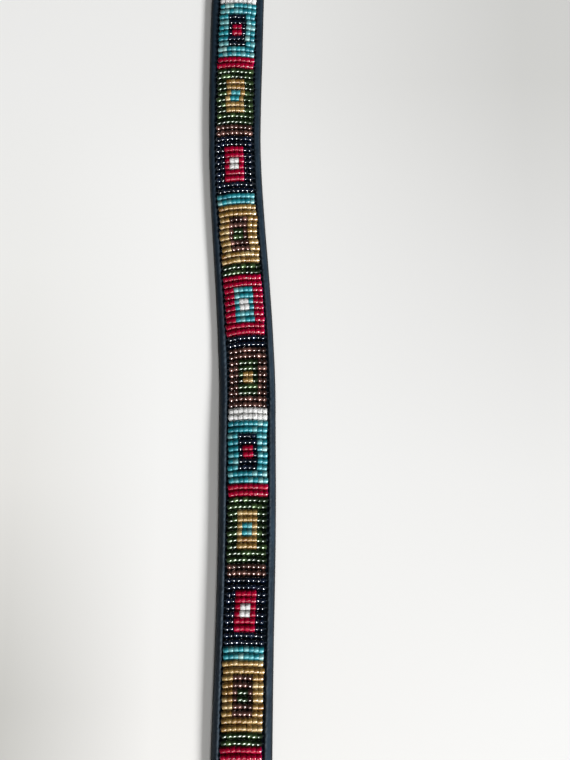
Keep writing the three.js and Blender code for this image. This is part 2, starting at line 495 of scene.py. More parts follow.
@dataclass(frozen=True)
class BeadLot:
    """One lot of beads: its glass, the shape of its beads and how far they lean on the thread."""

    finish: GlassFinish
    shape: BeadShape
    lean: float = 0.0


LOTS = {
    # Opaque white glass: light sinks in and comes out all over, so the beads look chalky and soft.
    Glass.WHITE: BeadLot(
        GlassFinish(
            deep="eceae7",
            body="f2f1ee",
            pale="f7f6f4",
            metallic=0.0,
            roughness=0.7,
            coat=0.0,
            coat_roughness=0.3,
            glow=1.0,
            glow_reach=6 * MM,
            gloss=0.0,
        ),
        PLUMP_BEAD,
    ),
    # Turquoise glass with a pearly lustre: a soft, broad sheen over a colour that glows a little.
    Glass.TURQUOISE: BeadLot(
        GlassFinish(
            deep="006776",
            body="16838e",
            pale="8bb0ac",
            metallic=0.28,
            roughness=0.5,
            coat=0.5,
            coat_roughness=0.3,
            glow=0.55,
            glow_reach=2 * MM,
        ),
        ROUND_BEAD,
    ),
    # Deep red glass: light passes through it, so that even its shaded sides stay red.
    Glass.RED: BeadLot(
        GlassFinish(
            deep="800020",
            body="8f0024",
            pale="9b032c",
            metallic=0.0,
            roughness=0.5,
            coat=0.4,
            coat_roughness=0.2,
            glow=1.0,
            glow_reach=4 * MM,
            gloss=0.0,
        ),
        FULL_BEAD,
        math.radians(4),
    ),
    # Dark green glass with a metallic coat: nearly black, with one bright streak on each bead.
    Glass.GREEN: BeadLot(
        GlassFinish(
            deep="061309",
            body="162a10",
            pale="486237",
            metallic=0.5,
            roughness=0.28,
            coat=0.45,
            coat_roughness=0.2,
        ),
        STRAIGHT_BEAD,
        math.radians(13),
    ),
    # Gold glass with a silvered hole: a warm body, bright on top and brown between the beads.
    Glass.GOLD: BeadLot(
        GlassFinish(
            deep="78500e",
            body="917237",
            pale="b0996a",
            metallic=0.28,
            roughness=0.42,
            coat=0.85,
            coat_roughness=0.26,
            glow=0.7,
            glow_reach=3 * MM,
        ),
        GOLD_BEAD,
        math.radians(4),
    ),
    # Brown glass with a bronze coat: dark and warm, with a sharp pinkish light.
    Glass.BROWN: BeadLot(
        GlassFinish(
            deep="24110f",
            body="56362f",
            pale="946a60",
            metallic=0.5,
            roughness=0.3,
            coat=1.0,
            coat_roughness=0.12,
            coat_ior=1.8,
        ),
        RING_BEAD,
        math.radians(12),
    ),
    # Clear navy glass: all but black, with a small white dot of light on each bead.
    Glass.NAVY: BeadLot(
        GlassFinish(
            deep="000612",
            body="031022",
            pale="061a38",
            metallic=0.0,
            roughness=0.5,
            coat=1.0,
            coat_roughness=0.1,
            gloss=0.0,
            coat_ior=2.1,
        ),
        RING_BEAD,
    ),
}


@dataclass
class BeadBand:
    """The sewn beadwork: rows of eight beads across the belt, joined into one mesh for each colour."""

    course: Course
    top: float
    across_pitch: float = 2.13 * MM
    shift: float = -0.1 * MM
    row_pitch: float = 2.92 * MM
    per_row: int = 8
    block_rows: int = 10
    stripe_rows: int = 2
    frame_beads: int = 2
    arch: float = 0.8 * MM
    arch_power: float = 2.2
    bow_left: float = 0.45 * MM
    bow_right: float = 0.22 * MM
    sway: float = 0.16 * MM
    slow_sway: float = 0.32 * MM
    slow_sway_rows: int = 9
    creep: float = 0.7 * MM
    creep_wave: int = 88
    creep_crest: int = 74
    creep_fade: int = 20
    stray: float = 0.05 * MM
    tilt: float = math.radians(2.5)
    size_spread: float = 0.025
    tint_middle: float = 0.5
    tint_spread: float = 0.22
    seed: int = 11
    row_ends: np.ndarray | None = None
    blocks: tuple[BlockColours, ...] = (
        BlockColours(Glass.TURQUOISE, Glass.NAVY, Glass.RED),
        BlockColours(Glass.GREEN, Glass.GOLD, Glass.TURQUOISE),
        BlockColours(Glass.NAVY, Glass.RED, Glass.WHITE),
        BlockColours(Glass.GOLD, Glass.BROWN, Glass.GREEN),
        BlockColours(Glass.RED, Glass.TURQUOISE, Glass.WHITE),
        BlockColours(Glass.BROWN, Glass.GREEN, Glass.GOLD),
    )
    stripes: tuple[Glass, ...] = (
        Glass.WHITE,
        Glass.RED,
        Glass.BROWN,
        Glass.TURQUOISE,
        Glass.GREEN,
        Glass.NAVY,
    )

    @property
    def rows(self) -> int:
        """How many rows fill the beaded length."""
        return round(self.course.bead_length / self.row_pitch)

    def colour_at(self, row: int, place: int) -> Glass:
        """The colour of a bead.

        Args:
            row: its row, counted from the tip's end of the beadwork.
            place: its place in the row, from the left.

        Returns:
            The colour by the chart of nested rectangles and stripes.
        """
        repeat = self.block_rows + self.stripe_rows
        number, line = divmod(row, repeat)
        if line < self.stripe_rows:
            return self.stripes[number % len(self.stripes)]
        block = self.blocks[number % len(self.blocks)]
        line -= self.stripe_rows
        from_edge = min(line, self.block_rows - 1 - line)
        from_side = min(place, self.per_row - 1 - place)
        if from_edge < self.frame_beads or from_side < self.frame_beads:
            return block.frame
        if from_edge == self.block_rows // 2 - 1 and from_side == self.per_row // 2 - 1:
            return block.heart
        return block.field

    def build(self) -> dict[Glass, bpy.types.Object]:
        """Makes the beads of every colour.

        Returns:
            One object for each colour.
        """
        modelled = {shape: shape.model() for shape in {lot.shape for lot in LOTS.values()}}
        draw = np.random.default_rng(self.seed)
        rows, places = np.meshgrid(np.arange(self.rows), np.arange(self.per_row), indexing="ij")
        rows = rows.ravel()
        places = places.ravel()
        colours = np.array([self.colour_at(r, p).value for r, p in zip(rows, places)])
        leans = np.array([LOTS[Glass(colour)].lean for colour in colours])
        spots, turns = self._settle(rows, places, leans, draw)
        sizes = 1 + draw.normal(0, self.size_spread, (len(rows), 1, 3))
        tints = np.clip(draw.normal(self.tint_middle, self.tint_spread, len(rows)), 0, 1)
        made = {}
        for glass in Glass:
            chosen = np.flatnonzero(colours == glass.value)
            points, faces = modelled[LOTS[glass].shape]
            stamped = np.einsum("bij,bvj->bvi", turns[chosen], points[None] * sizes[chosen])
            stamped += spots[chosen, None]
            piece = join_copies(f"{glass.value}_beads", stamped, faces)
            set_share(piece.data, "bead_tint", np.repeat(tints[chosen], stamped.shape[1]))
            LOTS[glass].finish.dress(piece, f"{glass.value}_glass")
            made[glass] = finish_piece(piece, "bead_panel")
        return made

    def _settle(
        self, rows: np.ndarray, places: np.ndarray, leans: np.ndarray, draw: np.random.Generator
    ) -> tuple[np.ndarray, np.ndarray]:
        """Works out where each bead lies and how it is turned.

        Args:
            rows: each bead's row.
            places: each bead's place in its row.
            leans: how far each bead's lot leans on the thread.
            draw: the seeded source of the small irregularities.

        Returns:
            The beads' middles and their rotation matrices.
        """
        half = (self.per_row - 1) / 2
        side = (places - half) / half
        row_sway = draw.normal(0, self.sway, self.rows)
        window = np.ones(self.slow_sway_rows) / self.slow_sway_rows
        slow = np.convolve(draw.normal(0, self.slow_sway, self.rows), window, mode="same")
        row_slip = draw.normal(0, self.stray, self.rows)
        bow = np.where(side < 0, self.bow_left, self.bow_right) * side * side
        across = (places - half) * self.across_pitch + self.shift + (row_sway + slow)[rows]
        far = self.course.bead_start + self.course.bead_length
        along = far - (rows + 0.5) * self.row_pitch - bow + row_slip[rows]
        along += self._crept(rows)
        drop = self.arch * np.abs(side) ** self.arch_power
        up = self.top - STRAIGHT_BEAD.diameter / 2 - drop
        straight = np.column_stack((across, along, up))
        straight += draw.normal(0, self.stray, straight.shape)
        spin = draw.uniform(0, 2 * math.pi, len(rows))
        steepness = self.arch * self.arch_power / (half * self.across_pitch)
        roll = np.arctan(steepness * np.abs(side) ** (self.arch_power - 1)) * np.sign(side)
        roll += draw.normal(0, self.tilt, len(rows))
        lean = 2 * bow / (half * self.across_pitch)
        yaw = -np.arctan(self.course.slope(along)) - lean * side + draw.normal(0, self.tilt, len(rows))
        yaw += leans
        self.row_ends = np.concatenate((straight[places == 0], straight[places == self.per_row - 1]))
        return self.course.lay(straight), self._turns(spin, roll, yaw)

    def _crept(self, rows: np.ndarray) -> np.ndarray:
        """How far the rows have crept along, as hand sewing packs them tighter here and looser there."""
        wave = np.cos(2 * np.pi * (rows - self.creep_crest) / self.creep_wave)
        return self.creep * wave * smooth_step(np.minimum(rows, self.rows - 1 - rows) / self.creep_fade)

    def _turns(self, spin: np.ndarray, roll: np.ndarray, yaw: np.ndarray) -> np.ndarray:
        """Works out how each bead is turned.

        Args:
            spin: each bead's turn about its own hole.
            roll: how far it leans down to the side.
            yaw: how far it is turned as seen from above.

        Returns:
            A rotation matrix for each bead.
        """
        none = np.zeros_like(spin)
        one = np.ones_like(spin)
        about_x = [one, none, none, none, np.cos(spin), -np.sin(spin), none, np.sin(spin), np.cos(spin)]
        about_y = [np.cos(roll), none, np.sin(roll), none, one, none, -np.sin(roll), none, np.cos(roll)]
        about_z = [np.cos(yaw), -np.sin(yaw), none, np.sin(yaw), np.cos(yaw), none, none, none, one]
        first, second, third = (np.stack(m, axis=1).reshape(-1, 3, 3) for m in (about_x, about_y, about_z))
        return third @ second @ first


@dataclass(frozen=True)
class ThreadFinish:
    """Waxed nylon sewing thread, spun from three plies: near-black navy with a dull waxy gloss."""

    colour: str = "0c1118"
    lighter: str = "1b242e"
    roughness: float = 0.6
    gloss: float = 0.15
    # The plies lie about as far apart as the row thread is thick.
    ply: float = 0.45 * MM
    ply_relief: float = 0.6
    ply_flatness: float = 6.0

    def dress(self, piece: bpy.types.Object) -> None:
        """Gives a thread piece this finish.

        Args:
            piece: the thread.
        """
        material, tree, shader = new_material("waxed_nylon_thread")
        place = add_node(tree, "ShaderNodeTexCoord").outputs["Object"]
        plies = add_node(
            tree,
            "ShaderNodeTexWave",
            {"bands_direction": "DIAGONAL", "Scale": scale_of(self.ply) / (2 * math.pi), "Distortion": 0.6},
            {"Vector": place},
        )
        tone = colour_ramp(tree, plies.outputs["Fac"], [(0.2, self.colour), (0.8, self.lighter)])
        bump = add_node(
            tree,
            "ShaderNodeBump",
            {"Strength": self.ply_relief, "Distance": self.ply / self.ply_flatness},
            {"Height": plies.outputs["Fac"]},
        )
        tree.links.new(tone.outputs["Color"], shader.inputs["Base Color"])
        tree.links.new(bump.outputs["Normal"], shader.inputs["Normal"])
        shader.inputs["Roughness"].default_value = self.roughness
        shader.inputs["Specular IOR Level"].default_value = self.gloss
        piece.data.materials.append(material)


@dataclass(frozen=True)
class Stitch:
    """One arched stitch of thread along X, with both ends going down."""

    thread: float
    length: float
    rise: float
    sides: int = 8
    steps: int = 8

    def model(self) -> tuple[np.ndarray, np.ndarray]:
        """Models the stitch: a ring of thread swept over half a turn, then flattened.

        Returns:
            Its points and its four-sided faces.
        """
        deselect_all()
        reach = (self.length - self.thread) / 2
        bpy.ops.mesh.primitive_circle_add(vertices=self.sides, radius=self.thread / 2, location=(reach, 0, 0))
        stitch = bpy.context.object
        bpy.ops.object.transform_apply(location=True, rotation=True, scale=True)
        bpy.ops.object.mode_set(mode="EDIT")
        bpy.ops.mesh.select_all(action="SELECT")
        bpy.ops.mesh.spin(steps=self.steps, angle=math.pi, center=(0, 0, 0), axis=(0, 1, 0))
        bpy.ops.mesh.select_all(action="SELECT")
        flattening = self.rise / (reach + self.thread / 2)
        bpy.ops.transform.resize(value=(1, 1, flattening), center_override=(0, 0, 0))
        bpy.ops.mesh.normals_make_consistent(inside=False)
        bpy.ops.object.mode_set(mode="OBJECT")
        return take_shape(stitch)


@dataclass
class Sewing:
    """The thread that shows: a loop at both ends of every bead row, and the stitching of the fold."""

    course: Course
    bar_along: float
    row_thread: float = 0.4 * MM
    loop_length: float = 1.7 * MM
    loop_rise: float = 0.5 * MM
    loop_shift: float = 1.55 * MM
    loop_sides: int = 6
    loop_steps: int = 6
    seam_thread: float = 0.8 * MM
    seam_length: float = 3.0 * MM
    seam_rise: float = 0.55 * MM
    seam_pitch: float = 3.4 * MM
    seam_count: int = 6
    seam_lines: tuple[float, ...] = (34 * MM, 40 * MM)
    seam_height: float = 4.9 * MM
    slant: float = math.radians(8)

    def build(self, row_ends: np.ndarray) -> list[bpy.types.Object]:
        """Makes the thread.

        Args:
            row_ends: the middles of the beads that end the rows, on the straight belt.

        Returns:
            The row loops and the seam.
        """
        return [self._sew_rows(row_ends), self._sew_fold()]

    def _sew_rows(self, row_ends: np.ndarray) -> bpy.types.Object:
        """Puts a loop of thread from each row's end into the margin.

        Args:
            row_ends: the middles of the beads that end the rows, on the straight belt.

        Returns:
            The row loops.
        """
        loop = Stitch(self.row_thread, self.loop_length, self.loop_rise, self.loop_sides, self.loop_steps)
        points, faces = loop.model()
        middles = row_ends.copy()
        middles[:, 0] += np.sign(row_ends[:, 0]) * self.loop_shift
        stamped = points[None] + middles[:, None]
        laid = self.course.lay(stamped.reshape(-1, 3)).reshape(stamped.shape)
        piece = join_copies("row_thread", laid, faces)
        ThreadFinish().dress(piece)
        return finish_piece(piece)

    def _sew_fold(self) -> bpy.types.Object:
        """Puts two lines of slanted stitches across the turned-back end.

        Returns:
            The stitching.
        """
        points, faces = Stitch(self.seam_thread, self.seam_length, self.seam_rise).model()
        cosine, sine = math.cos(self.slant), math.sin(self.slant)
        slanted = points @ np.array([[cosine, sine, 0], [-sine, cosine, 0], [0, 0, 1]])
        steps = (np.arange(self.seam_count) - (self.seam_count - 1) / 2) * self.seam_pitch
        middles = [
            (step, self.bar_along + line, self.seam_height) for line in self.seam_lines for step in steps
        ]
        stamped = slanted[None] + np.array(middles)[:, None]
        laid = self.course.lay(stamped.reshape(-1, 3)).reshape(stamped.shape)
        piece = join_copies("fold_stitching", laid, faces)
        ThreadFinish().dress(piece)
        return finish_piece(piece)


@dataclass(frozen=True)
class LeatherFinish:
    """Navy calf, dyed through and buffed to a low gloss.

    The dye is a little uneven and the pores are fine. A patchy sheen is painted along the rolled margins' lips,
    where the light catches them.
    """

    colour: str = "13202d"
    lighter: str = "1c2e3e"
    # The colour of the sheen that is painted along the margins' lips, where the light catches them.
    lip_sheen: str = "5a6a78"
    edge_paint: str = "040609"
    edge_roughness: float = 0.7
    roughness: float = 0.42
    gloss: float = 0.45
    # Real pores are about 0.2 mm apart, too fine to show here, so they are drawn coarser.
    pore: float = 0.8 * MM
    pore_relief: float = 0.8
    pore_flatness: float = 5.0
    mottle: float = 7 * MM
    crease: float = 2.6 * MM
    crease_relief: float = 0.3
    crease_flatness: float = 12.0

    def dress(self, piece: bpy.types.Object) -> None:
        """Gives the strap its leather.

        Args:
            piece: the strap.
        """
        material, tree, shader = new_material("navy_calf")
        place = add_node(tree, "ShaderNodeTexCoord").outputs["Object"]
        mottle = add_node(
            tree, "ShaderNodeTexNoise", {"Scale": scale_of(self.mottle), "Detail": 4.0}, {"Vector": place}
        )
        dye = colour_ramp(tree, mottle.outputs["Fac"], [(0.3, self.colour), (0.75, self.lighter)])
        pores = add_node(
            tree, "ShaderNodeTexVoronoi", {"Scale": scale_of(self.pore), "Randomness": 0.9}, {"Vector": place}
        )
        creases = add_node(
            tree, "ShaderNodeTexNoise", {"Scale": scale_of(self.crease), "Detail": 3.0}, {"Vector": place}
        )
        fine = add_node(
            tree,
            "ShaderNodeBump",
            {"Strength": self.pore_relief, "Distance": self.pore / self.pore_flatness},
            {"Height": pores.outputs["Distance"]},
        )
        broad = add_node(
            tree,
            "ShaderNodeBump",
            {"Strength": self.crease_relief, "Distance": self.crease / self.crease_flatness},
            {"Height": creases.outputs["Fac"], "Normal": fine.outputs["Normal"]},
        )
        # Mixes the painted sheen along the margins' lips into the dye.
        painted_sheen = add_node(tree, "ShaderNodeAttribute", {"attribute_name": "painted_sheen"})
        with_sheen = add_node(
            tree,
            "ShaderNodeMix",
            {"data_type": "RGBA", 7: linear(self.lip_sheen)},
            {0: painted_sheen.outputs["Fac"], 6: dye.outputs["Color"]},
        )
        painted = add_node(tree, "ShaderNodeAttribute", {"attribute_name": "edge_paint"})
        colour = add_node(
            tree,
            "ShaderNodeMix",
            {"data_type": "RGBA", 7: linear(self.edge_paint)},
            {0: painted.outputs["Fac"], 6: with_sheen.outputs[2]},
        )
        tree.links.new(colour.outputs[2], shader.inputs["Base Color"])
        tree.links.new(broad.outputs["Normal"], shader.inputs["Normal"])
        dull = add_node(
            tree,
            "ShaderNodeMapRange",
            {"To Min": self.roughness, "To Max": self.edge_roughness},
            {"Value": painted.outputs["Fac"]},
        )
        tree.links.new(dull.outputs["Result"], shader.inputs["Roughness"])
        shader.inputs["Specular IOR Level"].default_value = self.gloss
        piece.data.materials.append(material)


@dataclass
class Strap:
    """The leather strap: turned-back end, plain stretch, beaded stretch between rolled margins, and tip."""

    course: Course
    bar_along: float
    tip_along: float
    thickness: float = 3.0 * MM
    corner: float = 0.5 * MM
    corner_segments: int = 3
    smooth_angle: float = math.radians(50)
    edge_reach: float = 0.85 * MM
    edge_full: float = 0.15 * MM
    # A patchy sheen is painted along each margin's lip, where the light catches its inner slope: its strength,
    # its place in from the strap's edge, its reach and its spread from vertex to vertex.
    painted_sheen: float = 0.3
    sheen_place: float = 2.6 * MM
    sheen_reach: float = 0.4 * MM
    sheen_spread: tuple[float, float] = (0.1, 1.8)
    channel_floor: float = 1.2 * MM
    channel_end_gap: float = 0.4 * MM
    channel_end_run: float = 0.6 * MM
    fold_thickness: float = 1.6 * MM
    fold_length: float = 44 * MM
    fold_gap: float = 0.3 * MM
    fold_closing_run: float = 18 * MM
    fold_ramp_run: float = 12 * MM
    bar_height: float = 3.5 * MM
    loop_inner: float = 1.9 * MM
    turn_steps: int = 12
    slope_steps: int = 8
    tip_run: float = 20 * MM
    tip_steps: int = 12
    hole_diameter: float = 3.8 * MM
    hole_pitch: float = 25 * MM
    hole_count: int = 5
    tip_to_first_hole: float = 70 * MM
    slot_length: float = 9 * MM
    slot_width: float = 3.6 * MM
    punch_sides: int = 32
    rows_per_span: int = 11
    cuts_per_row: int = 4
    row_pitch: float = 2.92 * MM
    pucker: float = 0.22 * MM
    pucker_spread: float = 0.3
    lip_pull: float = 0.6
    # Each row: how far in from the strap's edge, in mm, and the share of the pucker there.
    lip: tuple[tuple[float, float], ...] = (
        (1.5, 0.0),
        (2.6, 0.7),
        (3.3, 1.0),
        (3.6, 0.3),
    )
    # Each row: share of the beaded length, and how much wider the left and the right margin are, in mm.
    swell: tuple[tuple[float, float, float], ...] = (
        (0.1, 0.0, 0.0),
        (0.19, 0.4, 0.5),
        (0.26, 0.25, 0.0),
        (0.31, 0.3, 0.0),
        (0.35, 0.45, 0.0),
        (0.4, 0.65, -0.3),
        (0.446, 0.75, -0.35),
        (0.504, 0.0, 0.0),
        (0.55, -0.4, 0.0),
        (0.591, -0.45, -0.1),
        (0.651, 0.3, 0.15),
        (0.69, 0.7, 0.0),
        (0.8, 0.0, 0.0),
    )
    seed: int = 5
    # Each row: how far in from the strap's edge and how high the leather stands, in mm.
    margin: tuple[tuple[float, float], ...] = (
        (0.0, 1.95),
        (0.5, 2.5),
        (1.0, 2.95),
        (1.6, 3.4),
        (2.2, 3.85),
        (2.6, 4.0),
        (2.95, 3.85),
        (3.2, 3.3),
        (3.45, 2.2),
        (3.65, 1.2),
    )
    flat_crest: float = 3.1 * MM
    # Each row: share of the beaded length, and how far the margins' crest is pressed flat.
    flatness: tuple[tuple[float, float], ...] = (
        (0.30, 0.0),
        (0.45, 0.3),
        (0.55, 0.7),
        (0.65, 0.9),
    )

    @property
    def half(self) -> float:
        """Half the strap's width."""
        return self.course.strap_width / 2

    def build(self) -> bpy.types.Object:
        """Models the strap straight, then lays it on its course.

        Returns:
            The finished strap.
        """
        strap = self._start_section()
        self._extrude_fold()
        self._extrude_run()
        self._cut_rows(strap)
        bpy.ops.mesh.select_all(action="SELECT")
        bpy.ops.mesh.normals_make_consistent(inside=False)
        bpy.ops.object.mode_set(mode="OBJECT")
        self._paint_edges(strap)
        self._roll_margins(strap)
        self._punch(strap)
        set_places(strap.data, self.course.lay(places_of(strap.data)))
        make_active(strap)
        bpy.ops.object.shade_smooth_by_angle(angle=self.smooth_angle)
        LeatherFinish().dress(strap)
        return finish_piece(strap, "strap")

    def _start_section(self) -> bpy.types.Object:
        """Makes the section at the turned-back end: a plate with eased corners, cut where the margin turns.

        Returns:
            The strap so far, in edit mode with its section selected.
        """
        deselect_all()
        end = self.bar_along + self.fold_length
        bpy.ops.mesh.primitive_plane_add(
            size=1, rotation=(math.pi / 2, 0, 0), location=(0, end, self.fold_thickness / 2)
        )
        strap = bpy.context.object
        strap.name = "leather_strap"
        strap.data.name = strap.name
        strap.scale = (self.course.strap_width, self.fold_thickness, 1)
        bpy.ops.object.transform_apply(location=True, rotation=True, scale=True)
        bpy.ops.object.mode_set(mode="EDIT")
        bpy.ops.mesh.select_all(action="SELECT")
        bpy.ops.mesh.bevel(offset=self.corner, segments=self.corner_segments, affect="VERTICES")
        in_corner = 2
        for distance, _ in self.margin[in_corner:]:
            for side in (-1, 1):
                bpy.ops.mesh.select_all(action="SELECT")
                place = side * (self.half - distance * MM)
                bpy.ops.mesh.bisect(plane_co=(place, 0, 0), plane_no=(1, 0, 0))
        bpy.ops.mesh.select_all(action="SELECT")
        return strap

    def _extrude(self, along: float, up: float = 0.0) -> None:
        """Extrudes the selected end section."""
        bpy.ops.mesh.extrude_region_move(TRANSFORM_OT_translate={"value": (0, along, up)})

    def _extrude_fold(self) -> None:
        """Takes the section back to the bar, round it, down on to the turned-back end and on to the floor."""
        self._extrude(-self.fold_length)
        bpy.ops.mesh.spin(
            steps=self.turn_steps,
            angle=math.pi,
            center=(0, self.bar_along, self.bar_height),
            axis=(1, 0, 0),
        )
        upper = self.fold_thickness + self.fold_gap
        high = self.bar_height + self.loop_inner
        shares = smooth_step(np.linspace(0, 1, self.slope_steps + 1))
        heights = high + (upper - high) * shares
        thicknesses = self.fold_thickness + (self.thickness - self.fold_thickness) * shares
        along = self.bar_along
        for step in range(self.slope_steps):
            run = self.fold_closing_run / self.slope_steps
            along += run
            self._extrude(run, heights[step + 1] - heights[step])
            bpy.ops.transform.resize(
                value=(1, 1, thicknesses[step + 1] / thicknesses[step]),
                center_override=(0, along, heights[step + 1]),
            )
        self._extrude(self.fold_length + self.fold_gap - self.fold_closing_run)
        for step in range(self.slope_steps):
            self._extrude(self.fold_ramp_run / self.slope_steps, -upper * (shares[step + 1] - shares[step]))

    def _extrude_run(self) -> None:
        """Takes the section on through the beaded stretch to the rounded tip."""
        along = self.bar_along + self.fold_length + self.fold_gap + self.fold_ramp_run
        start, end = self._channel()
        spans = round(self.course.bead_length / self.row_pitch / self.rows_per_span)
        stops = [start - self.channel_end_run]
        stops += list(np.linspace(start, end, spans + 1))
        stops += [end + self.channel_end_run, self.tip_along - self.tip_run]
        for stop in stops:
            self._extrude(stop - along)
            along = stop
        width = 1.0
        for step in range(1, self.tip_steps):
            angle = math.pi / 2 * step / self.tip_steps
            stop = self.tip_along - self.tip_run * (1 - math.sin(angle))
            self._extrude(stop - along)
            along = stop
            narrower = math.cos(angle)
            bpy.ops.transform.resize(value=(narrower / width, 1, 1), center_override=(0, along, 0))
            width = narrower

    def _channel(self) -> tuple[float, float]:
        """Works out where the channel for the beadwork lies.

        Returns:
            Its start and its end along the belt.
        """
        start = self.course.bead_start - self.channel_end_gap
        end = self.course.bead_start + self.course.bead_length + self.channel_end_gap
        return start, end

    def _cut_rows(self, strap: bpy.types.Object) -> None:
        """Cuts the beaded stretch finely enough for the leather to pucker at every row.

        Args:
            strap: the strap, in edit mode.
        """
        start, end = self._channel()
        span = (end - start) / round(self.course.bead_length / self.row_pitch / self.rows_per_span)

        def runs_along(edge: bmesh.types.BMEdge) -> bool:
            """Says whether an edge runs along the belt, in the channel's stretch."""
            first, second = (vert.co for vert in edge.verts)
            inside = min(first.y, second.y) > start - self.probe and max(first.y, second.y) < end + self.probe
            return inside and abs(first.y - second.y) > span / 2

        select_parts(strap, "EDGE", runs_along)
        bpy.ops.mesh.subdivide(number_cuts=self.rows_per_span * self.cuts_per_row - 1)

    @property
    def probe(self) -> float:
        """A distance too small to reach the next line of vertices."""
        return self.channel_end_gap / 4

    def _roll_margins(self, strap: bpy.types.Object) -> None:
        """Sinks the channel, rounds the margins over and puckers their inner lips where the rows are sewn.

        Args:
            strap: the strap, still straight.
        """
        places = places_of(strap.data)
        across, along, up = places.T
        start, end = self._channel()
        sunk = (along > start - self.probe) & (along < end + self.probe) & (up > self.thickness / 2)
        distances, heights = np.array(self.margin).T * MM
        from_edge = self.half - np.abs(across)
        share = (along - self.course.bead_start) / self.course.bead_length
        shares, flats = np.array(self.flatness).T
        dome = np.interp(from_edge, distances, heights)
        flat = np.interp(share, shares, flats)
        dome = np.where(dome > self.flat_crest, self.flat_crest + (dome - self.flat_crest) * (1 - flat), dome)
        up[sunk] += dome[sunk] - self.thickness
        draw = np.random.default_rng(self.seed)
        rows = round(self.course.bead_length / self.row_pitch)
        row = (along - self.course.bead_start) / self.row_pitch
        nearest = np.clip(np.round(row - 0.5).astype(int), 0, rows - 1)
        lip_places, lip_shares = np.array(self.lip).T
        lip_places = lip_places * MM
        for side in (-1, 1):
            depths = self.pucker * (1 + draw.normal(0, self.pucker_spread, rows))
            here = sunk & (across * side > 0) & (from_edge > lip_places[0]) & (from_edge < lip_places[-1])
            lip = np.interp(from_edge, lip_places, lip_shares)
            pull = np.cos(np.pi * np.clip(row - 0.5 - nearest, -0.5, 0.5)) ** 2 * depths[nearest] * lip
            up[here] -= pull[here]
            across[here] += side * self.lip_pull * pull[here]
        shares, *widths = np.array(self.swell).T
        inner = distances[-1]
        for side, width in zip((-1, 1), widths):
            wider = np.interp(share, shares, width * MM) * (1 - from_edge / inner)
            here = (across * side > 0) & (from_edge < inner)
            across[here] += side * wider[here]
        set_places(strap.data, np.column_stack((across, along, up)))
        # Paints a patchy sheen along the lips, fading where the margins' crest is pressed flat.
        lip_sheen = np.exp(-(((from_edge - self.sheen_place) / self.sheen_reach) ** 2)) * (1 - flat) * sunk
        set_share(strap.data, "painted_sheen", self.painted_sheen * lip_sheen * draw.uniform(*self.sheen_spread, len(up)))

    def _paint_edges(self, strap: bpy.types.Object) -> None:
        """Marks the cut edges, which are painted black, for the leather's finish to read.

        Args:
            strap: the strap, still straight.
        """
        across, _, up = places_of(strap.data).T
        from_edge = self.half - np.abs(across)
        fading = (from_edge - self.edge_full) / (self.edge_reach - self.edge_full)
        set_share(strap.data, "edge_paint", 1 - smooth_step(fading))

    def _punch(self, strap: bpy.types.Object) -> None:
        """Punches the tip's holes and the prong's slot.

        Args:
            strap: the strap, still straight.
        """
        for number in range(self.hole_count):
            along = self.tip_along - self.tip_to_first_hole - number * self.hole_pitch
            self._punch_round(strap, self.hole_diameter, 4 * self.thickness, along)
        round_end = self.bar_along + self.slot_length - self.slot_width / 2
        self._punch_round(strap, self.slot_width, 8 * self.bar_height, round_end)
        reach = self.slot_length - self.slot_width / 2 + self.bar_height + self.fold_gap
        deselect_all()
        bpy.ops.mesh.primitive_cube_add(size=1, location=(0, round_end - reach / 2, self.bar_height))
        punch = bpy.context.object
        punch.scale = (self.slot_width, reach, 4 * self.bar_height)
        self._cut_with(strap, punch)

    def _punch_round(self, strap: bpy.types.Object, diameter: float, depth: float, along: float) -> None:
        """Punches one round hole in the middle of the strap.

        Args:
            strap: the strap, still straight.
            diameter: the hole's diameter.
            depth: the punch's length, a few times what it has to pass through.
            along: where the hole is along the belt.
        """
        deselect_all()
        bpy.ops.mesh.primitive_cylinder_add(
            vertices=self.punch_sides, radius=diameter / 2, depth=depth, location=(0, along, 0)
        )
        self._cut_with(strap, bpy.context.object)

    def _cut_with(self, strap: bpy.types.Object, punch: bpy.types.Object) -> None:
        """Cuts a punch's shape out of the strap and throws the punch away.

        Args:
            strap: the strap, still straight.
            punch: the object that cuts it.
        """
        make_active(strap)
        cut = strap.modifiers.new("punched", "BOOLEAN")
        cut.operation = "DIFFERENCE"
        cut.object = punch
        bpy.ops.object.modifier_apply(modifier=cut.name)
        bpy.data.objects.remove(punch)


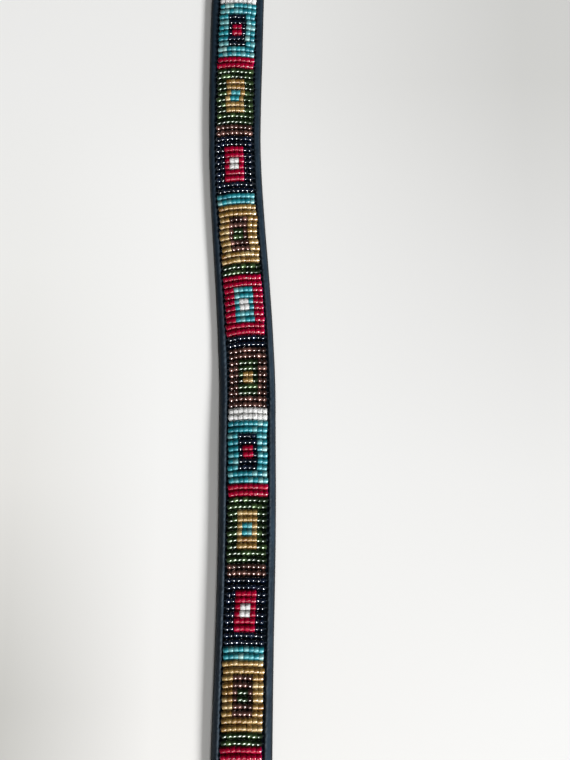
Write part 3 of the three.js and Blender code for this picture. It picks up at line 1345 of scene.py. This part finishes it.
@dataclass(frozen=True)
class NickelFinish:
    """Nickel plate over cast zinc, brushed along and then scuffed a little: satin, with faint fine lines."""

    colour: str = "cfd0cf"
    roughness: float = 0.4
    metallic: float = 0.8
    darker: str = "bcbdbd"
    # Real brush lines are a few hundredths of a millimetre apart, so they are drawn coarser to show.
    line: float = 0.25 * MM
    line_stretch: float = 0.12
    line_relief: float = 0.15
    line_flatness: float = 6.0

    def dress(self, piece: bpy.types.Object) -> None:
        """Gives a metal piece this finish.

        Args:
            piece: the metal piece.
        """
        material, tree, shader = new_material("satin_nickel")
        place = add_node(tree, "ShaderNodeTexCoord").outputs["Object"]
        brushed = add_node(
            tree, "ShaderNodeMapping", {"Scale": (self.line_stretch, 1.0, 1.0)}, {"Vector": place}
        )
        lines = add_node(
            tree,
            "ShaderNodeTexNoise",
            {"Scale": scale_of(self.line), "Detail": 2.0},
            {"Vector": brushed.outputs["Vector"]},
        )
        bump = add_node(
            tree,
            "ShaderNodeBump",
            {"Strength": self.line_relief, "Distance": self.line / self.line_flatness},
            {"Height": lines.outputs["Fac"]},
        )
        tone = colour_ramp(tree, lines.outputs["Fac"], [(0.3, self.darker), (0.7, self.colour)])
        tree.links.new(tone.outputs["Color"], shader.inputs["Base Color"])
        tree.links.new(bump.outputs["Normal"], shader.inputs["Normal"])
        shader.inputs["Metallic"].default_value = self.metallic
        shader.inputs["Roughness"].default_value = self.roughness
        piece.data.materials.clear()
        piece.data.materials.append(material)


class Screen(Enum):
    """Whether a light is kept off some pieces, as by a flag on a stand, or kept to them alone."""

    KEPT_OFF = "EXCLUDE"
    KEPT_TO = "INCLUDE"


@dataclass(frozen=True)
class SoftLight:
    """One rectangular soft light: the way to it, its distance, size, power in watts, turn and colour."""

    way: tuple[float, float, float]
    distance: float
    size: tuple[float, float]
    power: float
    turn: float = 0.0
    colour: tuple[float, float, float] = (1.0, 1.0, 1.0)


@dataclass
class Studio:
    """The pale floor, the soft light and the camera."""

    target: Vector
    beads: dict[Glass, bpy.types.Object]
    strap: bpy.types.Object
    distance: float = 520.3 * MM
    elevation: float = math.radians(76.53)
    lens_share: float = 1.5
    sensor: float = 36.0
    key: SoftLight = SoftLight((1.7, -1.6, 1.0), 8.0, (1.5, 1.5), 1090.0)
    polarised_key: SoftLight = replace(key, power=2000.0, colour=(1.0, 0.8, 0.68))
    fill: SoftLight = SoftLight((0.1, -1.5, 1.05), 2.2, (1.6, 0.22), 23.0, math.radians(45))
    polarised_fill: SoftLight = replace(fill, power=24.0, colour=(1.0, 0.9, 0.82))
    lamp: SoftLight = SoftLight((0.2, -1.5, 1.05), 2.2, (0.36, 0.36), 58.0)
    floor_radius: float = 9.0
    floor_sides: int = 96
    floor_roughness: float = 0.8
    floor_gloss: float = 0.1
    floor_run: float = 340 * MM
    # The floor's tones from far to near, over its run, at the left, in the middle and at the right: painted
    # light and shade, lighter or darker as the light falls off, with a broad painted shade at the near left.
    # They blend into each other between the columns, which are measured sideways from the picture's middle, and
    # stay as they are past the ends of the run, so the floor looks patchy from other sides.
    left_painted_light: tuple[tuple[float, str], ...] = (
        (0.05, "f3f3f2"),
        (0.33, "f0f0ee"),
        (0.63, "e5e4e1"),
        (0.92, "c6c5c1"),
    )
    middle_painted_light: tuple[tuple[float, str], ...] = (
        (0.05, "f3f3f2"),
        (0.2, "f6f6f5"),
        (0.6, "f3f3f2"),
        (0.92, "edecea"),
    )
    right_painted_light: tuple[tuple[float, str], ...] = (
        (0.05, "d3d3d1"),
        (0.33, "e0e0df"),
        (0.63, "eaeae9"),
        (0.92, "eeeeed"),
    )
    floor_columns: tuple[float, ...] = (-121 * MM, -57 * MM, -48 * MM, 116 * MM)
    floor: bpy.types.Object | None = None
    backdrop_colour: str = "dededd"
    wall_tones: tuple[tuple[float, str], ...] = (
        (0.0, "b8b7b2"),
        (0.3, "b8b7b2"),
        (0.6, "82817d"),
        (0.9, "4a4a48"),
    )
    side_tones: tuple[tuple[float, str], ...] = (
        (0.2, "303030"),
        (0.5, "808080"),
        (0.8, "ffffff"),
    )
    roll: float = math.radians(0.125)

    def build(self) -> None:
        """Sets up everything that isn't part of the belt."""
        self._lay_floor()
        self._hang_lights()
        self._surround()
        self._stand_camera()

    def _lay_floor(self) -> None:
        """Lays a plain, matt, pale floor that mirrors nothing, with painted light and shade in its tones."""
        deselect_all()
        bpy.ops.mesh.primitive_circle_add(
            vertices=self.floor_sides, radius=self.floor_radius, fill_type="NGON"
        )
        floor = bpy.context.object
        floor.name = "floor"
        material, tree, shader = new_material("pale_floor")
        place = add_node(tree, "ShaderNodeTexCoord").outputs["Object"]
        parts = add_node(tree, "ShaderNodeSeparateXYZ", links={"Vector": place})
        nearness = add_node(
            tree,
            "ShaderNodeMapRange",
            {"From Min": self.target.y + self.floor_run / 2, "From Max": self.target.y - self.floor_run / 2},
            {"Value": parts.outputs["Y"]},
        )
        # Blends the floor's painted light and shade from the left column to the right.
        tone = colour_ramp(tree, nearness.outputs["Result"], self.left_painted_light).outputs["Color"]
        far_left, near_left, near_right, far_right = (self.target.x + column for column in self.floor_columns)
        blends = ((far_left, near_left, self.middle_painted_light), (near_right, far_right, self.right_painted_light))
        for start, end, tones in blends:
            across = add_node(
                tree,
                "ShaderNodeMapRange",
                {"From Min": start, "From Max": end},
                {"Value": parts.outputs["X"]},
            )
            next_tone = colour_ramp(tree, nearness.outputs["Result"], tones)
            mixed = add_node(
                tree,
                "ShaderNodeMix",
                {"data_type": "RGBA"},
                {0: across.outputs["Result"], 6: tone, 7: next_tone.outputs["Color"]},
            )
            tone = mixed.outputs[2]
        tree.links.new(tone, shader.inputs["Base Color"])
        shader.inputs["Roughness"].default_value = self.floor_roughness
        shader.inputs["Specular IOR Level"].default_value = self.floor_gloss
        floor.data.materials.append(material)
        self.floor = floor

    def _hang(self, name: str, light: SoftLight) -> bpy.types.Object:
        """Hangs one soft light so that it faces the belt.

        Args:
            name: the light's name.
            light: its place, size, power and colour.

        Returns:
            The light.
        """
        data = bpy.data.lights.new(name, "AREA")
        data.shape = "RECTANGLE"
        data.size, data.size_y = light.size
        data.energy = light.power
        data.color = light.colour
        hung = bpy.data.objects.new(name, data)
        towards = Vector(light.way).normalized()
        hung.location = self.target + towards * light.distance
        hung.rotation_euler = towards.to_track_quat("Z", "Y").to_euler()
        hung.rotation_euler.rotate_axis("Z", light.turn)
        bpy.context.scene.collection.objects.link(hung)
        return hung

    def _hang_lights(self) -> None:
        """Hangs the lights, each kept to the pieces that it is meant for.

        The key is low on the right, and the fill is a long window-like light on the near side. The strap has
        a twin of each that is polarised, so that it lights the leather and leaves no glare on it. The lamp
        makes the small round lights on the dark beads.
        """
        dark = [self.beads[glass] for glass in (Glass.NAVY, Glass.GREEN, Glass.BROWN)]
        even = [self.beads[glass] for glass in (Glass.WHITE, Glass.RED, Glass.TURQUOISE, Glass.GOLD)]
        self._screen(self._hang("key", self.key), [self.strap] + dark)
        self._screen(self._hang("fill", self.fill), [self.strap, self.beads[Glass.NAVY]])
        twins = (("polarised_key", self.polarised_key), ("polarised_fill", self.polarised_fill))
        for twin in [self._hang(name, light) for name, light in twins]:
            self._screen(twin, [self.strap], Screen.KEPT_TO)
            twin.visible_glossy = False
        self._screen(self._hang("lamp", self.lamp), [self.floor, self.strap] + even)

    def _screen(
        self, light: bpy.types.Object, pieces: list[bpy.types.Object], how: Screen = Screen.KEPT_OFF
    ) -> None:
        """Keeps a light off some pieces, or on them alone.

        Args:
            light: the light.
            pieces: the pieces.
            how: whether the light is kept off them or kept to them.
        """
        screened = bpy.data.collections.new(f"screened_from_{light.name}")
        for piece in pieces:
            screened.objects.link(piece)
        light.light_linking.receiver_collection = screened
        for item in screened.collection_objects:
            item.light_linking.link_state = how.value

    def _surround(self) -> None:
        """Puts a dim room round the belt, darker overhead than at its walls and brighter on the near side."""
        world = bpy.data.worlds.new("room")
        bpy.context.scene.world = world
        world.use_nodes = True
        tree = world.node_tree
        way = add_node(tree, "ShaderNodeTexCoord").outputs["Generated"]
        parts = add_node(tree, "ShaderNodeSeparateXYZ", links={"Vector": way})
        walls = colour_ramp(tree, parts.outputs["Z"], self.wall_tones)
        # Turns the way's -1 at the near side and 1 at the far side into 1 and 0.
        nearness = add_node(
            tree, "ShaderNodeMath", {"operation": "MULTIPLY_ADD", 1: -0.5, 2: 0.5}, {0: parts.outputs["Y"]}
        )
        sides = colour_ramp(tree, nearness.outputs["Value"], self.side_tones)
        room = add_node(
            tree,
            "ShaderNodeMix",
            {"data_type": "RGBA", "blend_type": "MULTIPLY", 0: 1.0},
            {6: walls.outputs["Color"], 7: sides.outputs["Color"]},
        )
        seen = add_node(tree, "ShaderNodeLightPath").outputs["Is Camera Ray"]
        shown = add_node(
            tree,
            "ShaderNodeMix",
            {"data_type": "RGBA", 7: linear(self.backdrop_colour)},
            {0: seen, 6: room.outputs[2]},
        )
        tree.links.new(shown.outputs[2], tree.nodes["Background"].inputs["Color"])

    def _stand_camera(self) -> None:
        """Stands the camera on the near side of the belt's middle, high above it."""
        data = bpy.data.cameras.new("camera")
        data.sensor_width = self.sensor
        data.lens = self.sensor * self.lens_share
        camera = bpy.data.objects.new("camera", data)
        back = Vector((0, -math.cos(self.elevation), math.sin(self.elevation)))
        camera.location = self.target + back * self.distance
        camera.rotation_euler = (math.pi / 2 - self.elevation, 0, 0)
        camera.rotation_euler.rotate_axis("Z", self.roll)
        bpy.context.scene.collection.objects.link(camera)
        bpy.context.scene.camera = camera
        bpy.context.scene.view_settings.view_transform = "Standard"


def main() -> None:
    """Builds the belt's pieces and the studio in order."""
    logging.basicConfig(level=logging.INFO, format="%(name)s: %(message)s")
    band_low, band_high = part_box("bead_panel")
    strap_low, strap_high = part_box("strap")
    buckle_low, buckle_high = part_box("buckle")
    rail_end = 3 * MM
    course = Course(
        near_x=(buckle_low.x + buckle_high.x) / 2,
        bead_start=band_low.y,
        bead_length=band_high.y - band_low.y,
    )
    strap = Strap(course, bar_along=buckle_high.y - rail_end, tip_along=strap_high.y).build()
    band = BeadBand(course, top=band_high.z)
    beads = band.build()
    Sewing(course, bar_along=buckle_high.y - rail_end).build(band.row_ends)
    NickelFinish().dress(frame["nodes"]["buckle"])
    # The picture's middle: its share of the beaded length, and how far it is beside the belt's centreline,
    # measured where the belt runs straight, and above the floor.
    middle_share = 0.4234
    straight_share = 0.37
    beside = 16.6 * MM
    above = 4 * MM
    middle = course.bead_start + middle_share * course.bead_length
    straight = np.array([course.bead_start + straight_share * course.bead_length])
    sideways = float(course.centre(straight)[0]) + beside
    Studio(Vector((sideways, middle, above)), beads, strap).build()


if __name__ == "__main__":
    main()
